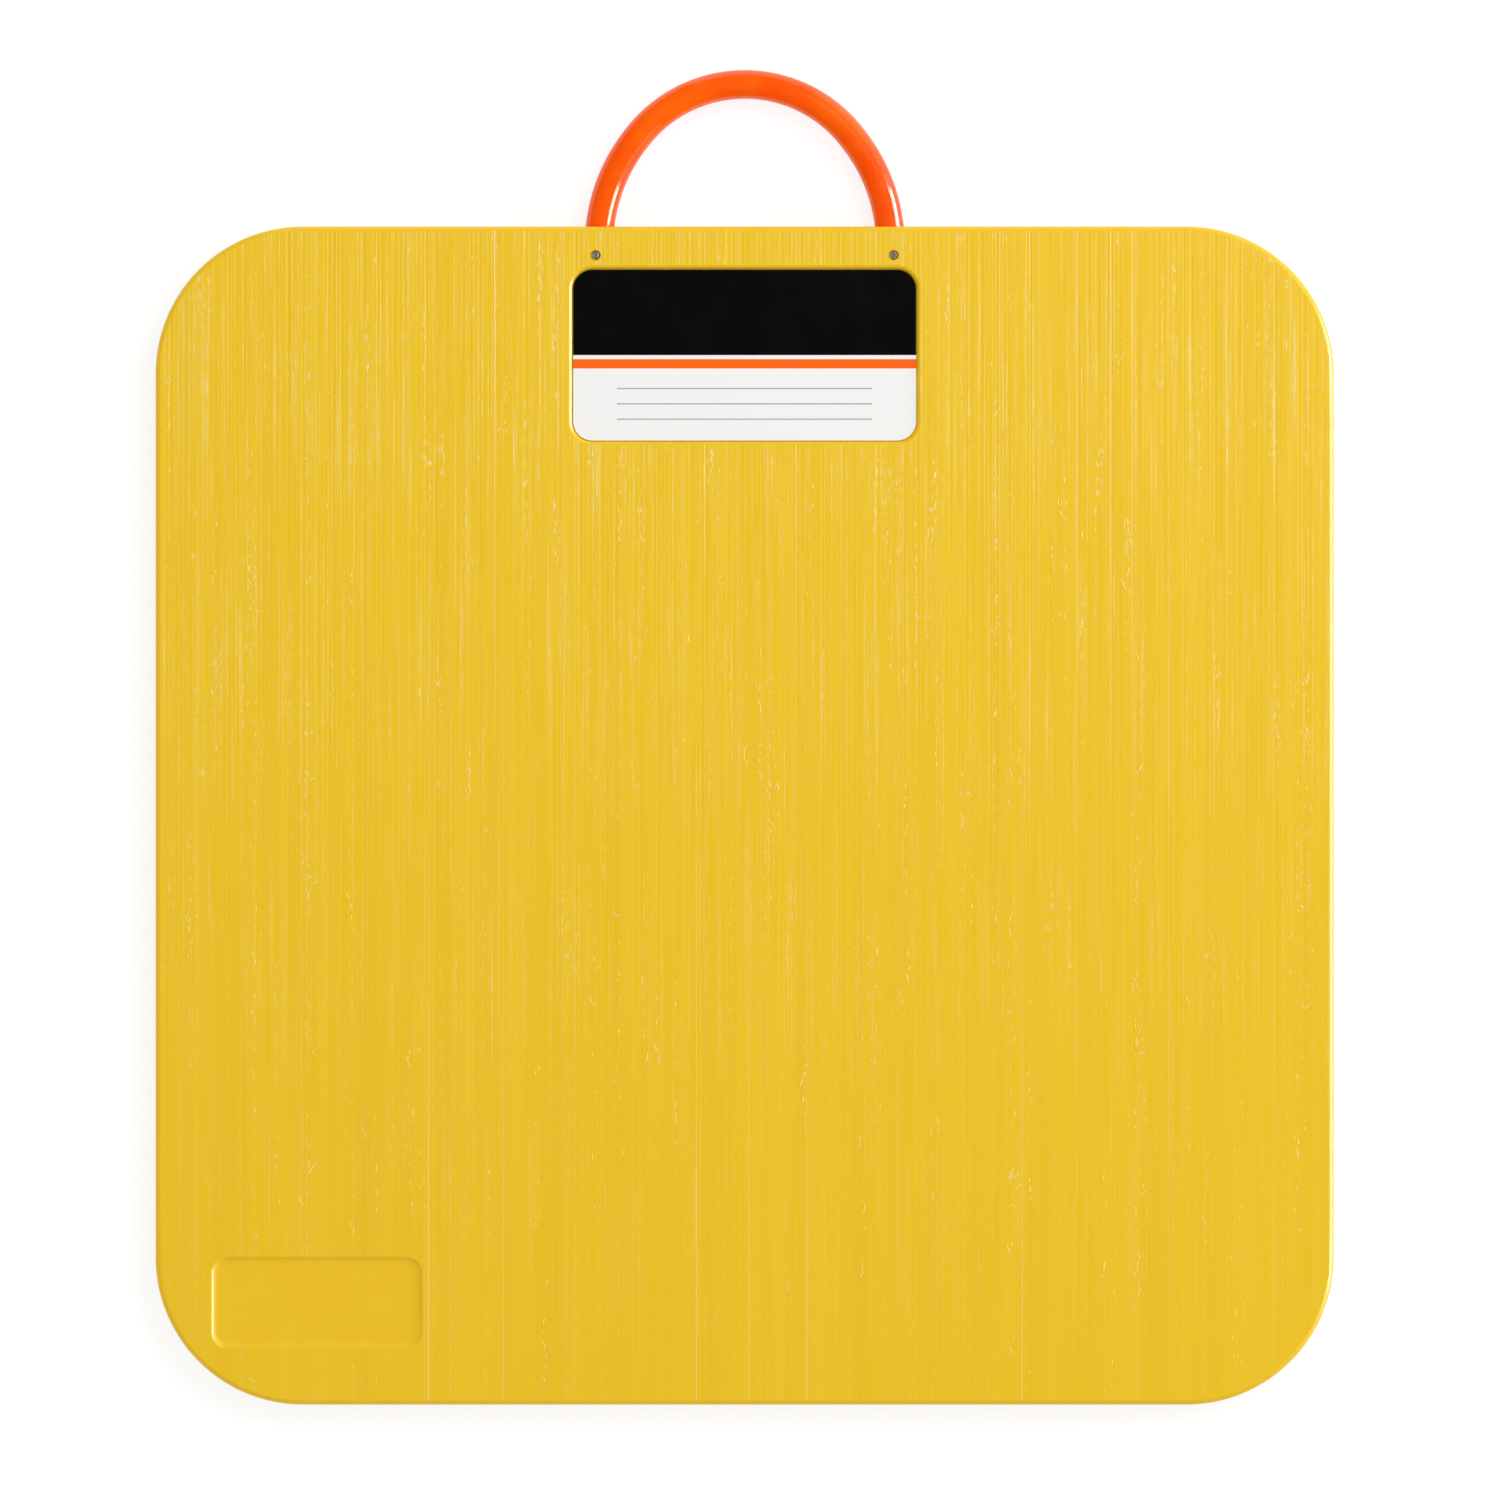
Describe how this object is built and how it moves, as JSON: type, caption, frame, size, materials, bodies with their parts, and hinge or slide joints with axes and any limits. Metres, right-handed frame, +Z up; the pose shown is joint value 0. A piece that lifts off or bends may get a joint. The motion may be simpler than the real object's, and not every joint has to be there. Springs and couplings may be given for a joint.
{
  "type": "crane outrigger pad",
  "caption": "Square yellow plastic crane outrigger pad with rounded corners, a bent orange carrying handle pinned into its edge, a recessed label and a shallow marking pocket.",
  "frame": {"origin": "centre of the plate's underside, on the ground", "axes": "+Z up out of the labelled face, +Y towards the handle, +X to the right when the label is seen from above with the handle at the top"},
  "size_m": [0.6096, 0.6911, 0.0254],
  "materials": {
    "yellow_polymer": "planed satin, fine ridges along Y",
    "orange_polymer": "smooth gloss",
    "screw_steel": "plain bright",
    "white_laminate": "smooth gloss with a plain printed band"
  },
  "bodies": {
    "root": {"plate": "yellow_polymer", "handle": "orange_polymer", "handle_screws": "screw_steel", "label": "white_laminate"}
  },
  "joints": []
}
